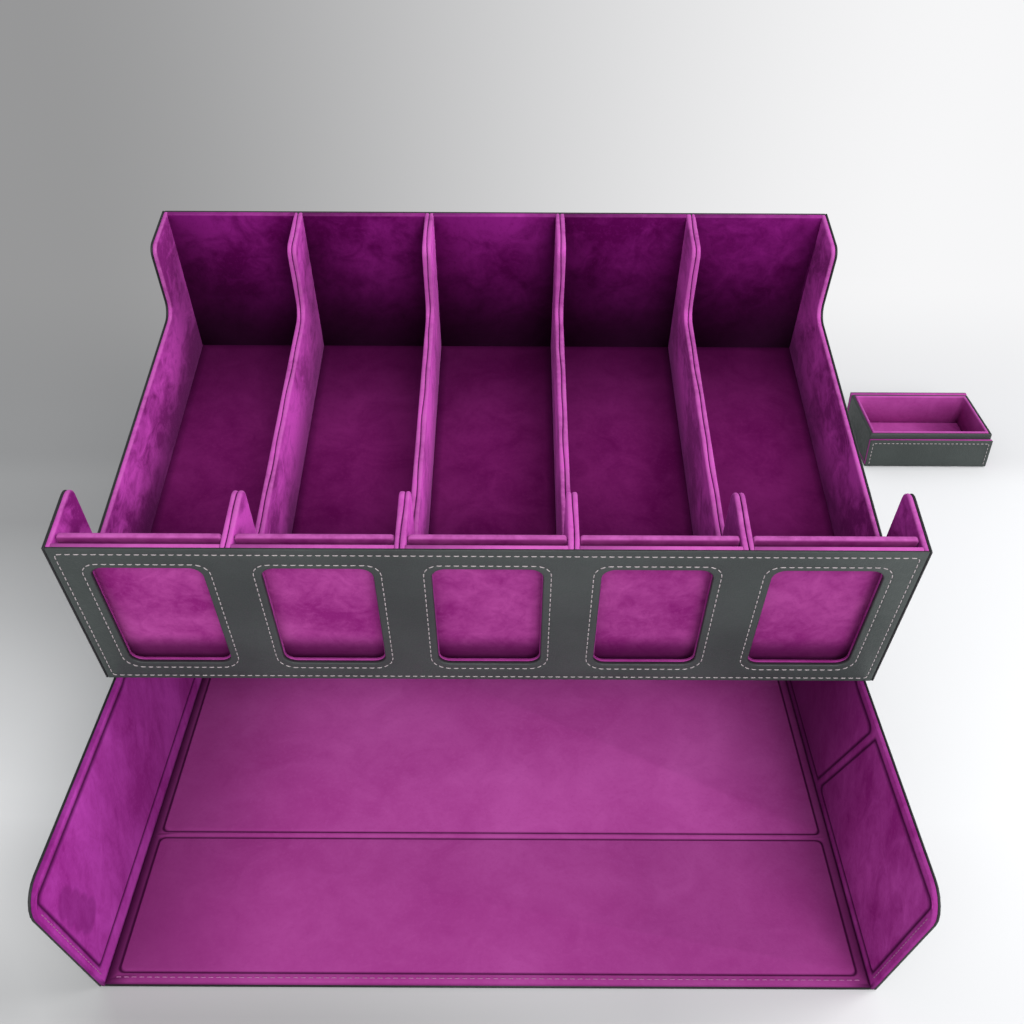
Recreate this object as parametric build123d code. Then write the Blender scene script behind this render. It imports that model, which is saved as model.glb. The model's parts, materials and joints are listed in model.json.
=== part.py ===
"""Trading card storage box with five lanes, the stand tray that it lies on, and a small tray in its cover.

Millimetres. +X is to the right, +Y to the back and +Z up. The origin is the middle of the stand tray's
underside, on the table. The storage box is drawn level, from the bottom of its front face, and is then
tilted and set on the tops of the tray's walls.
"""
from build123d import *
import math
import os

# Storage box, outside
BOX_WIDTH = 380.0
BOX_DEPTH = 248.0
BOX_HEIGHT = 102.0
LANES = 5

# Scooped side walls and dividers: an ear in front, a low run, and a full-height stretch at the back
EAR_DEPTH = 37.0
SCOOP_HEIGHT = 57.0
BACK_STRETCH = 36.0
EAR_RADIUS = 6.0
SCOOP_RADIUS = 8.0

# Thicknesses in the storage box
LEATHER = 1.2
SIDE_BOARD = 1.2
SIDE_SUEDE = 1.2
BACK_BOARD = 1.5
BACK_SUEDE = 1.2
FRONT_LEATHER = 0.9
FRONT_BOARD = 1.0
FRONT_SUEDE = 0.8
BOTTOM_BOARD = 2.0
FLOOR_PAD = 1.8
EDGE_WRAP = 1.2
DIVIDER_WALL = 2.4
DIVIDER_SEAM = 0.2

# Card pockets behind the front panel, and the windows in it
POCKET_GAP = 4.2
POCKET_WALL = 2.8
POCKET_DROP = 0.5
POCKET_CORNER = 1.2
POCKET_SIDE_GAP = 0.3
WINDOW_WIDTH = 49.0
WINDOW_HEIGHT = 74.7
WINDOW_SILL = 13.8
WINDOW_RADIUS = 6.0
WINDOW_LIP = 0.9
WINDOW_TURN_IN = 0.6

# Stand tray
BOX_OVERHANG = 3.5
TRAY_WIDTH = BOX_WIDTH - 2 * BOX_OVERHANG
TRAY_DEPTH = 300.0
TRAY_WALL_TOP = 107.0
TRAY_RAKE = 30.0
TRAY_TIP_RADIUS = 12.0
TRAY_LEATHER = 1.2
TRAY_BOARD = 1.4
TRAY_SUEDE = 0.8
TRAY_WRAP = 1.2
FOLD_FRONT = 83.5
FOLD_GAP = 5.0
SEAM_TOP = 67.0
SEAM_FOOT = 123.0
SEAM_GAP = 6.0

# How the storage box lies on the tray
BOX_SETBACK = 100.0
BOX_TILT = 13.0
REST_GAP = 0.2

# Small tray in its cover, which stands by itself
SMALL_WIDTH = 97.0
SMALL_DEPTH = 62.0
SMALL_INSIDE = 24.6
SMALL_LEATHER = 2.2
SMALL_SUEDE = 2.2
SMALL_BOTTOM = 1.2
SMALL_PAD = 1.0
SMALL_RADIUS = 1.5
COVER_LEATHER = 1.0
COVER_SUEDE = 1.0
COVER_LINING = 2.4
COVER_FRONT = 25.0
COVER_BACK = 29.0
COVER_FIT = 0.4
SMALL_GAP = 105.0
SMALL_X = BOX_WIDTH / 2 + SMALL_GAP + SMALL_WIDTH / 2
SMALL_Y = 450.0

os.makedirs("parts", exist_ok=True)


def export(name, shape):
    """One sub-part, in a file with its own name."""
    shape.label = name
    export_step(shape, f"parts/{name}.step")


def block(x0, x1, y0, y1, z0, z1):
    """A plain block between two corners."""
    return Pos((x0 + x1) / 2, (y0 + y1) / 2, (z0 + z1) / 2) * Box(x1 - x0, y1 - y0, z1 - z0)


def outline(points, rounded=()):
    """A flat face through the points; each (corner, radius) in rounded is made round."""
    face = make_face(Polyline(*points, close=True))
    for corner, radius in rounded:
        nearest = face.vertices().sort_by_distance(Vector(*corner))[0]
        face = fillet(nearest, radius)
    return face


def upright(face, x0, thickness):
    """A face drawn as (Y, Z), stood up as a plate from x0 towards +X."""
    return Pos(x0, 0, 0) * extrude(Plane.YZ * face, thickness)


# Places that several pieces share, in the storage box's own frame
HALF_WIDTH = BOX_WIDTH / 2
SIDE_WALL = LEATHER + SIDE_BOARD + SIDE_SUEDE
LANE_PITCH = (BOX_WIDTH - 2 * SIDE_WALL) / LANES
BOARD_FLOOR = LEATHER + BOTTOM_BOARD
LANE_FLOOR = BOARD_FLOOR + FLOOR_PAD
FRONT_BOARD_Y = FRONT_LEATHER + FRONT_BOARD
FRONT_INNER = FRONT_BOARD_Y + FRONT_SUEDE
BACK_LEATHER_Y = BOX_DEPTH - LEATHER
BACK_BOARD_Y = BACK_LEATHER_Y - BACK_BOARD
BACK_INNER = BACK_BOARD_Y - BACK_SUEDE
POCKET_Y = FRONT_INNER + POCKET_GAP
SCOOP_END = BOX_DEPTH - BACK_STRETCH
TILT = math.radians(BOX_TILT)
TRAY_WALL = TRAY_LEATHER + TRAY_BOARD + TRAY_SUEDE


def scooped(front, back, foot, inset=0.0, nose=False):
    """The wall's side view: ear, scoop and back stretch, drawn in by inset along its free top edge.

    With a nose, the top strip reaches over the front board and the back board to the leather.
    """
    top = BOX_HEIGHT - inset
    low = SCOOP_HEIGHT - inset
    ear = EAR_DEPTH - inset
    rise = SCOOP_END + inset
    under = top - EDGE_WRAP
    front_end = [(FRONT_LEATHER, top), (FRONT_LEATHER, under), (front, under)] if nose else [(front, top)]
    back_end = [(back, under), (BACK_LEATHER_Y, under), (BACK_LEATHER_Y, top)] if nose else [(back, top)]
    points = front_end + [(front, foot), (back, foot)] + back_end
    points += [(rise, top), (rise, low), (ear, low), (ear, top)]
    rounded = [((rise, top), EAR_RADIUS - inset), ((ear, top), EAR_RADIUS - inset)]
    rounded += [((rise, low), SCOOP_RADIUS + inset), ((ear, low), SCOOP_RADIUS + inset)]
    return outline(points, rounded)


def lane_span(lane):
    """The clear space between the two walls of one lane, counted from 0, as (low X, high X)."""
    low = -HALF_WIDTH + SIDE_WALL + lane * LANE_PITCH
    high = low + LANE_PITCH
    half_divider = DIVIDER_WALL + DIVIDER_SEAM / 2
    if lane > 0:
        low += half_divider
    if lane < LANES - 1:
        high -= half_divider
    return low, high


def lane_middle(lane):
    """The middle of a lane's pitch, where its window is."""
    return -HALF_WIDTH + SIDE_WALL + (lane + 0.5) * LANE_PITCH


def on_tray(shape):
    """Tilts a piece of the storage box and sets it on the tray's walls."""
    front_y = BOX_SETBACK - TRAY_DEPTH / 2
    return Pos(0, front_y, TRAY_WALL_TOP + REST_GAP) * Rot(BOX_TILT, 0, 0) * shape


def window(lane, grow, y0, y1):
    """The cutter for one window, larger than the leather's opening by grow on each side."""
    face = RectangleRounded(WINDOW_WIDTH + 2 * grow, WINDOW_HEIGHT + 2 * grow, WINDOW_RADIUS + grow)
    middle = WINDOW_SILL + WINDOW_HEIGHT / 2
    prism = extrude(Plane.XZ * face, -(y1 - y0))
    return Pos(lane_middle(lane), y0, middle) * prism


def make_box_shell():
    """Leather skins and the boards that they cover."""
    inner = HALF_WIDTH - LEATHER
    skin = scooped(0, BOX_DEPTH, 0)
    board = scooped(FRONT_LEATHER, BACK_LEATHER_Y, LEATHER, EDGE_WRAP)
    for side, leather_x, board_x in (("left", -HALF_WIDTH, -inner), ("right", inner, inner - SIDE_BOARD)):
        export(f"{side}_side_leather", on_tray(upright(skin, leather_x, LEATHER)))
        export(f"{side}_side_board", on_tray(upright(board, board_x, SIDE_BOARD)))

    export("back_leather", on_tray(block(-inner, inner, BACK_LEATHER_Y, BOX_DEPTH, 0, BOX_HEIGHT)))
    board_half = inner - SIDE_BOARD
    board_top = BOX_HEIGHT - EDGE_WRAP
    export("back_board", on_tray(block(-board_half, board_half, BACK_BOARD_Y, BACK_LEATHER_Y,
                                       LEATHER, board_top)))
    export("bottom_leather", on_tray(block(-inner, inner, FRONT_LEATHER, BACK_LEATHER_Y, 0, LEATHER)))
    export("bottom_board", on_tray(block(-board_half, board_half, FRONT_BOARD_Y, BACK_BOARD_Y,
                                         LEATHER, BOARD_FLOOR)))

    leather = block(-inner, inner, 0, FRONT_LEATHER, 0, BOX_HEIGHT)
    stiffener = block(-board_half, board_half, FRONT_LEATHER, FRONT_BOARD_Y, LEATHER, board_top)
    for lane in range(LANES):
        leather += window(lane, WINDOW_TURN_IN, FRONT_LEATHER, FRONT_BOARD_Y)
        leather -= window(lane, 0, -1, FRONT_BOARD_Y + 1)
        stiffener -= window(lane, WINDOW_TURN_IN, 0, FRONT_BOARD_Y + 1)
    export("front_leather", on_tray(leather))
    export("front_board", on_tray(stiffener))


def make_lane_walls():
    """The suede-covered walls of each lane: plates in the dividers, capped linings on the two sides."""
    inner = HALF_WIDTH - LEATHER
    face = scooped(FRONT_BOARD_Y, BACK_BOARD_Y, BOARD_FLOOR, nose=True)
    hidden = scooped(FRONT_LEATHER - 1, BACK_LEATHER_Y + 1, 0, EDGE_WRAP)
    end_wall = SIDE_BOARD + SIDE_SUEDE
    for lane in range(LANES):
        low, high = lane_span(lane)
        if lane == 0:
            left = upright(face, -inner, end_wall) - upright(hidden, -inner, SIDE_BOARD)
        else:
            left = upright(face, low - DIVIDER_WALL, DIVIDER_WALL)
        if lane == LANES - 1:
            right = upright(face, high, end_wall) - upright(hidden, inner - SIDE_BOARD, SIDE_BOARD)
        else:
            right = upright(face, high, DIVIDER_WALL)
        export(f"lane_{lane + 1}_left_wall", on_tray(left))
        export(f"lane_{lane + 1}_right_wall", on_tray(right))


def make_lane_linings():
    """Floor pad, back lining, front lining and pocket wall of each lane."""
    cap = BOX_HEIGHT - EDGE_WRAP
    for lane in range(LANES):
        low, high = lane_span(lane)
        name = f"lane_{lane + 1}"
        export(f"{name}_floor_pad", on_tray(block(low, high, FRONT_BOARD_Y, BACK_BOARD_Y,
                                                  BOARD_FLOOR, LANE_FLOOR)))

        back = block(low, high, BACK_INNER, BACK_BOARD_Y, LANE_FLOOR, BOX_HEIGHT)
        back += block(low, high, BACK_BOARD_Y, BACK_LEATHER_Y, cap, BOX_HEIGHT)
        export(f"{name}_back_lining", on_tray(back))

        front = block(low, high, FRONT_BOARD_Y, FRONT_INNER, LANE_FLOOR, BOX_HEIGHT)
        front += block(low, high, FRONT_LEATHER, FRONT_BOARD_Y, cap, BOX_HEIGHT)
        front -= window(lane, -WINDOW_LIP, 0, FRONT_INNER + 1)
        export(f"{name}_front_lining", on_tray(front))

        left = low + POCKET_SIDE_GAP
        right = high - POCKET_SIDE_GAP
        top = BOX_HEIGHT - POCKET_DROP
        corners = [(left, LANE_FLOOR), (right, LANE_FLOOR), (right, top), (left, top)]
        face = outline(corners, [((left, top), POCKET_CORNER), ((right, top), POCKET_CORNER)])
        wall = Pos(0, POCKET_Y, 0) * extrude(Plane.XZ * face, -POCKET_WALL)
        export(f"{name}_pocket_wall", on_tray(wall))


def tray_side(inset, foot):
    """A tray wall's side view: raked front, level top, then a slope that carries the box."""
    front = -TRAY_DEPTH / 2
    back = TRAY_DEPTH / 2
    top = TRAY_WALL_TOP - inset
    lean = TRAY_RAKE / TRAY_WALL_TOP
    shift = inset * math.hypot(1, lean)
    crest = front + BOX_SETBACK
    slope_shift = inset * math.tan(TILT / 2)
    back_top = top + (back - inset - crest - slope_shift) * math.tan(TILT)
    foot_y = front - foot * lean + shift
    tip_y = front - top * lean + shift
    points = [(foot_y, foot), (back - inset, foot), (back - inset, back_top), (crest + slope_shift, top),
              (tip_y, top)]
    return outline(points, [((tip_y, top), TRAY_TIP_RADIUS - inset)])


def seam_cut(x0, thickness):
    """The slanted gap between the two boards of the right wall."""
    front = -TRAY_DEPTH / 2
    rise = TRAY_WALL_TOP - TRAY_LEATHER
    run = (SEAM_FOOT - SEAM_TOP) / rise
    reach = 2.0
    top_y = front + SEAM_TOP - reach * run
    foot_y = front + SEAM_FOOT + reach * run
    half = SEAM_GAP / 2 * math.hypot(1, run)
    points = [(foot_y - half, TRAY_LEATHER - reach), (foot_y + half, TRAY_LEATHER - reach),
              (top_y + half, TRAY_WALL_TOP + reach), (top_y - half, TRAY_WALL_TOP + reach)]
    return upright(outline(points), x0, thickness)


def make_tray():
    """The stand tray: a floor with a fold, two side walls and a back wall, each leather, board and suede."""
    half = TRAY_WIDTH / 2
    front = -TRAY_DEPTH / 2
    back = TRAY_DEPTH / 2
    inner = half - TRAY_WALL
    skin_inside = half - TRAY_LEATHER
    board_top = TRAY_LEATHER + TRAY_BOARD
    fold = front + FOLD_FRONT
    start = front + TRAY_LEATHER
    rear_face = back - TRAY_WALL
    rear_skin = back - TRAY_LEATHER

    leather = block(-skin_inside, skin_inside, front, rear_skin, 0, TRAY_LEATHER)
    leather += block(-inner, inner, front, start, TRAY_LEATHER, TRAY_WALL)
    export("tray_floor_leather", leather)
    export("tray_floor_front_board", block(-inner, inner, start, fold, TRAY_LEATHER, board_top))
    export("tray_floor_rear_board", block(-inner, inner, fold + FOLD_GAP, rear_face, TRAY_LEATHER, board_top))
    export("tray_floor_lining", block(-inner, inner, start, rear_face, board_top, TRAY_WALL))

    skin = tray_side(0, 0)
    face = tray_side(0, TRAY_LEATHER)
    core = tray_side(TRAY_WRAP, TRAY_LEATHER)
    hidden = tray_side(TRAY_WRAP, 0)
    behind = block(-half, half, rear_skin, back + 1, -1, TRAY_WALL_TOP + TRAY_DEPTH)
    for side, skin_x, cover_x, board_x in (
            ("left", -half, -skin_inside, -skin_inside),
            ("right", skin_inside, inner, inner + TRAY_SUEDE)):
        export(f"tray_{side}_leather", upright(skin, skin_x, TRAY_LEATHER))
        cover = upright(face, cover_x, TRAY_BOARD + TRAY_SUEDE) - upright(hidden, board_x, TRAY_BOARD)
        export(f"tray_{side}_lining", cover - behind)
        board = upright(core, board_x, TRAY_BOARD) - behind
        if side == "left":
            export("tray_left_board", board)
            continue
        split = (board - seam_cut(board_x, TRAY_BOARD)).solids().sort_by(Axis.Y)
        export("tray_right_front_board", split[0])
        export("tray_right_rear_board", split[-1])

    back_top = TRAY_WALL_TOP + (TRAY_DEPTH - TRAY_WALL - BOX_SETBACK) * math.tan(TILT)
    under_wrap = back_top - TRAY_WRAP
    export("tray_rear_leather", block(-skin_inside, skin_inside, rear_skin, back, 0, back_top))
    board_front = rear_face + TRAY_SUEDE
    export("tray_rear_board", block(-inner, inner, board_front, rear_skin, TRAY_LEATHER, under_wrap))
    lining = block(-inner, inner, rear_face, board_front, TRAY_LEATHER, back_top)
    lining += block(-inner, inner, board_front, rear_skin, under_wrap, back_top)
    export("tray_rear_lining", lining)


def make_small_tray():
    """The small tray and the cover that it stands in, on the table to the right of the box."""
    half = SMALL_WIDTH / 2
    cover_floor = COVER_LEATHER + COVER_SUEDE
    tray_floor = cover_floor + SMALL_BOTTOM + SMALL_PAD
    rim = tray_floor + SMALL_INSIDE
    cover_wall = COVER_LEATHER + COVER_LINING
    front = SMALL_Y - TRAY_DEPTH / 2
    tray_front = front + cover_wall + COVER_FIT
    tray_back = tray_front + SMALL_DEPTH
    back = tray_back + COVER_FIT + cover_wall
    place = Pos(SMALL_X, 0, 0)

    leather = block(-half, half, front, back, 0, COVER_LEATHER)
    leather += block(-half, half, front, front + COVER_LEATHER, COVER_LEATHER, COVER_FRONT)
    leather += block(-half, half, back - COVER_LEATHER, back, COVER_LEATHER, COVER_BACK)
    export("small_cover_leather", place * leather)
    inner_front = front + COVER_LEATHER
    inner_back = back - COVER_LEATHER
    lining = block(-half, half, inner_front, inner_back, COVER_LEATHER, cover_floor)
    lining += block(-half, half, inner_front, inner_front + COVER_LINING, cover_floor, COVER_FRONT)
    lining += block(-half, half, inner_back - COVER_LINING, inner_back, cover_floor, COVER_BACK)
    export("small_cover_lining", place * lining)

    middle = (tray_front + tray_back) / 2
    foot = cover_floor + REST_GAP
    outer = extrude(RectangleRounded(SMALL_WIDTH, SMALL_DEPTH, SMALL_RADIUS), rim + REST_GAP - foot)
    hollow_width = SMALL_WIDTH - 2 * SMALL_LEATHER
    hollow_depth = SMALL_DEPTH - 2 * SMALL_LEATHER
    hollow = Pos(0, 0, SMALL_BOTTOM + rim / 2) * Box(hollow_width, hollow_depth, rim)
    at = Pos(SMALL_X, middle, foot)
    export("small_tray_leather", at * (outer - hollow))
    height = rim + REST_GAP - foot - SMALL_BOTTOM
    room_width = hollow_width - 2 * SMALL_SUEDE
    room_depth = hollow_depth - 2 * SMALL_SUEDE
    ring = Box(hollow_width, hollow_depth, height) - Box(room_width, room_depth, height)
    export("small_tray_lining", at * Pos(0, 0, SMALL_BOTTOM + height / 2) * ring)
    pad = Box(room_width, room_depth, SMALL_PAD)
    export("small_tray_floor_pad", at * Pos(0, 0, SMALL_BOTTOM + SMALL_PAD / 2) * pad)


make_box_shell()
make_lane_walls()
make_lane_linings()
make_tray()
make_small_tray()
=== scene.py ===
# %% [markdown]
# # A leather and suede card box, dressed in Blender
#
# The storage box is stiff board with black leather glued to its outside and purple suede to its inside. It
# lies tilted on the walls of a shallow stand tray made the same way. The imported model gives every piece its
# place and size, so this script only reads places and then makes surfaces: rounded suede rims, leather
# turned in round the windows, pressed creases, and every stitch.

# %% Load the frame
import json
import math
import bmesh
import bpy
import numpy as np
from mathutils import Matrix, Vector


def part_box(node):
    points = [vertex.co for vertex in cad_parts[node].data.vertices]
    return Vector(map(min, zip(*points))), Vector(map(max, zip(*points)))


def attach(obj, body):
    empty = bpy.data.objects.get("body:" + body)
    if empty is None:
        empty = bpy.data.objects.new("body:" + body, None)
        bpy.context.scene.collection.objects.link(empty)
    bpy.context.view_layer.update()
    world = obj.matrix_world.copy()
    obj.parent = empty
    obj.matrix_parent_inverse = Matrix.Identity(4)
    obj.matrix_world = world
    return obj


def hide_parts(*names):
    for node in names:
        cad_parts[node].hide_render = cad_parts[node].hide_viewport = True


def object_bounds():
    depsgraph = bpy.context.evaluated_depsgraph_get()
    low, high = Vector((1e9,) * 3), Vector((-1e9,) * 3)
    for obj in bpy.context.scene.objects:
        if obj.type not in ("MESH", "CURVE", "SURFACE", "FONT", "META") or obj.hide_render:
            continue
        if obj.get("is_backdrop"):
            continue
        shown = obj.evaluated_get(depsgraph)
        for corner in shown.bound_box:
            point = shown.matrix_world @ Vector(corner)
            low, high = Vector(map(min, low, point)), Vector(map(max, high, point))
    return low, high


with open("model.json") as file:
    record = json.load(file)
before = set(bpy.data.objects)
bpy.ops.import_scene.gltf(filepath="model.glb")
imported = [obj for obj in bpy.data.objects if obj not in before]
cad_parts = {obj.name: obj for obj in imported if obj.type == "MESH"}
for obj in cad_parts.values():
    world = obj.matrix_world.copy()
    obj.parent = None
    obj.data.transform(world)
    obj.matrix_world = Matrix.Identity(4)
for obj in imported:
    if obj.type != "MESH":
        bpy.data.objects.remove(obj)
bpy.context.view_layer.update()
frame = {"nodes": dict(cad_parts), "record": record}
slots = {part["node"]: part["material_slot"] for part in frame["record"]["subparts"]}
MM = 0.001

# %% [markdown]
# ## Two frames
#
# The storage box is easiest to draw level, with its front at y = 0 and its underside at z = 0. The model
# holds it tilted, so each point that is read is turned back by the tilt, and each point that is drawn is
# turned forward again. A turn about X mixes only y and z.

# %% The tilt of the storage box
TILT = math.radians(13.0)
TURN = np.array([[1, 0, 0],
                 [0, math.cos(TILT), -math.sin(TILT)],
                 [0, math.sin(TILT), math.cos(TILT)]])
BACK = TURN @ np.array([0.0, 1.0, 0.0])
UP = TURN @ np.array([0.0, 0.0, 1.0])


def vertices(node):
    """A node's points in the row frame, in metres."""
    mesh = frame["nodes"][node].data
    flat = np.empty(len(mesh.vertices) * 3)
    mesh.vertices.foreach_get("co", flat)
    return flat.reshape(-1, 3)


turned = np.concatenate([vertices("front_leather"), vertices("bottom_leather")]) @ TURN
box_corner = TURN @ np.array([0.0, turned[:, 1].min(), turned[:, 2].min()])


def levelled(node):
    """A storage box node's points in the box's own level frame."""
    return (vertices(node) - box_corner) @ TURN


def level(node):
    """A storage box node's lowest and highest corner in the box's own level frame."""
    points = levelled(node)
    return points.min(axis=0), points.max(axis=0)


def on_tray(points):
    """Level points of the storage box, turned by the tilt and moved to where the box lies."""
    return points @ TURN.T + box_corner


box_low, box_high = level("left_side_leather")
print("storage box height and depth in mm:", np.round((box_high - box_low)[1:] / MM, 1))

# %% [markdown]
# ## Rounded outlines
#
# Almost every piece is a flat shape with rounded corners and a soft edge. One function draws the outline
# and can move it inwards. A stack of such outlines, each a little further in and a little higher, is a
# surface with a rounded rim, a pressed crease or a turned-in edge, and all its parts follow the same
# corners.

# %% Draw one outline
ARC_STEPS = 6


def outline(corners, inset=0.0, radius=0.0, runs=1, follow=True):
    """A rounded polygon, counter-clockwise, as rows of (u, v).

    Side k goes from corner k to corner k + 1 and moves inwards by inset[k]. Where the moved sides k - 1 and k
    cross is the new corner. An arc that touches both sides takes its place: it starts at the radius times the
    tangent of half the turn before the crossing, and goes round its centre by the corner's whole turn. With
    follow, an outer corner's radius shrinks by the inset and an inner corner's radius grows by it. Each side
    between two arcs is cut into runs[k] equal lengths.
    """
    corner = np.asarray(corners, float)
    count = len(corner)
    inset = np.broadcast_to(np.asarray(inset, float), (count,))
    runs = np.broadcast_to(np.asarray(runs, int), (count,))
    side = np.roll(corner, -1, axis=0) - corner
    along = side / np.linalg.norm(side, axis=1)[:, None]
    inward = np.stack([-along[:, 1], along[:, 0]], axis=1)
    moved = corner + inward * inset[:, None]
    before = np.roll(along, 1, axis=0)
    moved_before = np.roll(moved, 1, axis=0)
    gap = moved - moved_before
    cross = before[:, 0] * along[:, 1] - before[:, 1] * along[:, 0]
    reach = (gap[:, 0] * along[:, 1] - gap[:, 1] * along[:, 0]) / cross
    tip = moved_before + before * reach[:, None]
    turn = np.arctan2(cross, np.sum(before * along, axis=1))
    curve = np.broadcast_to(np.asarray(radius, float), (count,))
    if follow:
        curve = np.maximum(curve - np.sign(turn) * (inset + np.roll(inset, 1)) / 2, 0)
    start = tip - before * (curve * np.tan(np.abs(turn) / 2))[:, None]
    to_centre = np.stack([-before[:, 1], before[:, 0]], axis=1) * np.sign(turn)[:, None]
    centre = start + to_centre * curve[:, None]
    spoke = start - centre
    across = np.stack([-spoke[:, 1], spoke[:, 0]], axis=1)
    angle = (turn[:, None] * np.linspace(0, 1, ARC_STEPS + 1))[..., None]
    arcs = centre[:, None] + spoke[:, None] * np.cos(angle) + across[:, None] * np.sin(angle)
    parts = []
    for k in range(count):
        parts.append(arcs[k])
        step = np.linspace(0, 1, runs[k] + 1)[1:-1, None]
        parts.append(arcs[k, -1] + (arcs[(k + 1) % count, 0] - arcs[k, -1]) * step)
    return np.concatenate(parts)


def lay(corners, inset, radius, w, runs=1, follow=True):
    """One outline at the depth w, as rows of (u, v, w)."""
    flat = outline(corners, inset, radius, runs, follow)
    return np.column_stack([flat, np.full(len(flat), w)])


def rectangle(low, high):
    """The four corners of a rectangle, counter-clockwise from the lowest."""
    return [(low[0], low[1]), (high[0], low[1]), (high[0], high[1]), (low[0], high[1])]


def even_runs(corners, step):
    """How many equal lengths of about one step each side is cut into."""
    length = np.linalg.norm(np.roll(corners, -1, axis=0) - np.asarray(corners), axis=1)
    return np.maximum(1, (length / step).astype(int))


# %% [markdown]
# ## From outlines to a mesh
#
# Outlines that lie one after another are joined by a band of four-sided faces. The first and last outline
# are closed by one flat face each, or the last is joined to the first when the piece is a ring. Points that
# fall together are merged, and the normals are worked out again so that they all point outwards.
#
# Each point also carries a tone. It is 1 on a rim that is stretched and rubbed pale and also carries a
# painted highlight, 0 on plain material, and -1 for painted shade down in a crease or where parts meet, and
# the materials read it.

# %% Build a mesh from bands
WELD = 0.01 * MM


def bands(rings, ends, first):
    """Faces that join ring r to ring r + 1, for rings of equal length whose points count from first.

    The first ring is filled where ends is "first" or "capped", and the last where it is "last" or "capped".
    Where it is "looped" the two are joined. An "open" shell is left for another one to merge with.
    """
    count, length = rings.shape[:2]
    index = first + np.arange(count * length).reshape(count, length)
    low, high = (index, np.roll(index, -1, axis=0)) if ends == "looped" else (index[:-1], index[1:])
    quads = np.stack([low, np.roll(low, -1, axis=1), np.roll(high, -1, axis=1), high], axis=-1)
    faces = quads.reshape(-1, 4).tolist()
    if ends in ("first", "capped"):
        faces.append(index[0][::-1].tolist())
    if ends in ("last", "capped"):
        faces.append(index[-1].tolist())
    return faces


def placed_piece(name, mesh, body, look, weld):
    """The object of a mesh, its faces turned outwards. With weld, points that fall together are merged."""
    work = bmesh.new()
    work.from_mesh(mesh)
    if weld:
        bmesh.ops.remove_doubles(work, verts=work.verts, dist=WELD)
        bmesh.ops.dissolve_degenerate(work, edges=work.edges, dist=WELD / 2)
    bmesh.ops.recalc_face_normals(work, faces=work.faces)
    work.to_mesh(mesh)
    work.free()
    mesh.polygons.foreach_set("use_smooth", np.ones(len(mesh.polygons), bool))
    mesh.materials.append(finish[look])
    piece = bpy.data.objects.new(name, mesh)
    bpy.context.scene.collection.objects.link(piece)
    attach(piece, body)
    print(name, "faces:", len(mesh.polygons))
    return piece


def add_piece(name, body, shells, node, look=None):
    """One object made of shells, each (rings, tone of each ring, how its ends are finished).

    It stands for a node and has its material slot. Its finish is the slot's own, or the one that look names.
    """
    points, faces, tones, first = [], [], [], 0
    for rings, tone, ends in shells:
        faces += bands(rings, ends, first)
        points.append(rings.reshape(-1, 3))
        tone = np.asarray(tone, float)
        if tone.ndim == 1:
            tone = tone[:, None]
        tones.append(np.broadcast_to(tone, rings.shape[:2]).ravel())
        first += len(points[-1])
    mesh = bpy.data.meshes.new(name)
    mesh.from_pydata(np.concatenate(points).tolist(), [], faces)
    shade = mesh.attributes.new("tone", "FLOAT", "POINT")
    shade.data.foreach_set("value", np.concatenate(tones).astype(np.float32))
    piece = placed_piece(name, mesh, body, look or slots[node], weld=True)
    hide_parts(node)


# %% [markdown]
# ## Plates with soft edges
#
# A board that is wrapped in suede has a rim that is nearly half round. A leather skin has a small radius
# where the knife's edge was rubbed smooth. Both are a plate whose edge is a quarter circle on each face.

# %% Stack the outlines of a plate
EDGE_STEPS = 4
FACE_RING = 1.8
TONE_REACH = 1.15


def plate(corners, radius, low, high, edge, runs=1, rim_tone=0.0):
    """Rings of (u, v, w) for a plate from w = low to w = high, and the tone of each ring.

    At the angle a from 0 to a quarter turn, the outline has moved in by edge * (1 - sin a) and the depth has
    moved from the face by edge * (1 - cos a). One more ring lies on each face, FACE_RING edges in. The tone
    falls in a straight line from the rim to nothing at TONE_REACH edges in.
    """
    angle = np.linspace(0, math.pi / 2, EDGE_STEPS + 1)
    inset = edge * (1 - np.sin(angle))
    sink = edge * (1 - np.cos(angle))
    insets = np.concatenate([[FACE_RING * edge], inset, inset[::-1], [FACE_RING * edge]])
    depths = np.concatenate([[low], low + sink, high - sink[::-1], [high]])
    rings = [lay(corners, move, radius, w, runs) for move, w in zip(insets, depths)]
    return np.array(rings), rim_tone * np.clip(TONE_REACH - insets / edge, 0, 1)


def rod(corners, radius, low, high, edge=0.0, runs=1):
    """Rings of (u, v, w) for a section that runs from w = low to w = high, with a bevel on each end."""
    ends = ((low, edge), (low + edge, 0.0), (high - edge, 0.0), (high, edge))
    return np.array([lay(corners, inset, radius, w, runs) for w, inset in ends])


def turned_to(rings, order):
    """The same rings with u, v and w sent to the axes that order names, such as "yzx"."""
    out = np.empty_like(rings)
    for source, axis in enumerate(order):
        out[..., "xyz".index(axis)] = rings[..., source]
    return out


def in_box(rings, order):
    """The storage box's rings of (u, v, w) as points on the tray."""
    return on_tray(turned_to(np.asarray(rings), order))


def facing(low, high, order):
    """The rectangle that a box shows on the first two axes that order names."""
    u, v = ("xyz".index(axis) for axis in order[:2])
    return rectangle((low[u], low[v]), (high[u], high[v]))


def slab(low, high, order, radius, edge, runs=1, rim_tone=0.0):
    """A plate that fills a box, as wide and high as the first two axes of order and as thick as the third."""
    w = "xyz".index(order[2])
    return plate(facing(low, high, order), radius, low[w], high[w], edge, runs, rim_tone)


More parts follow.
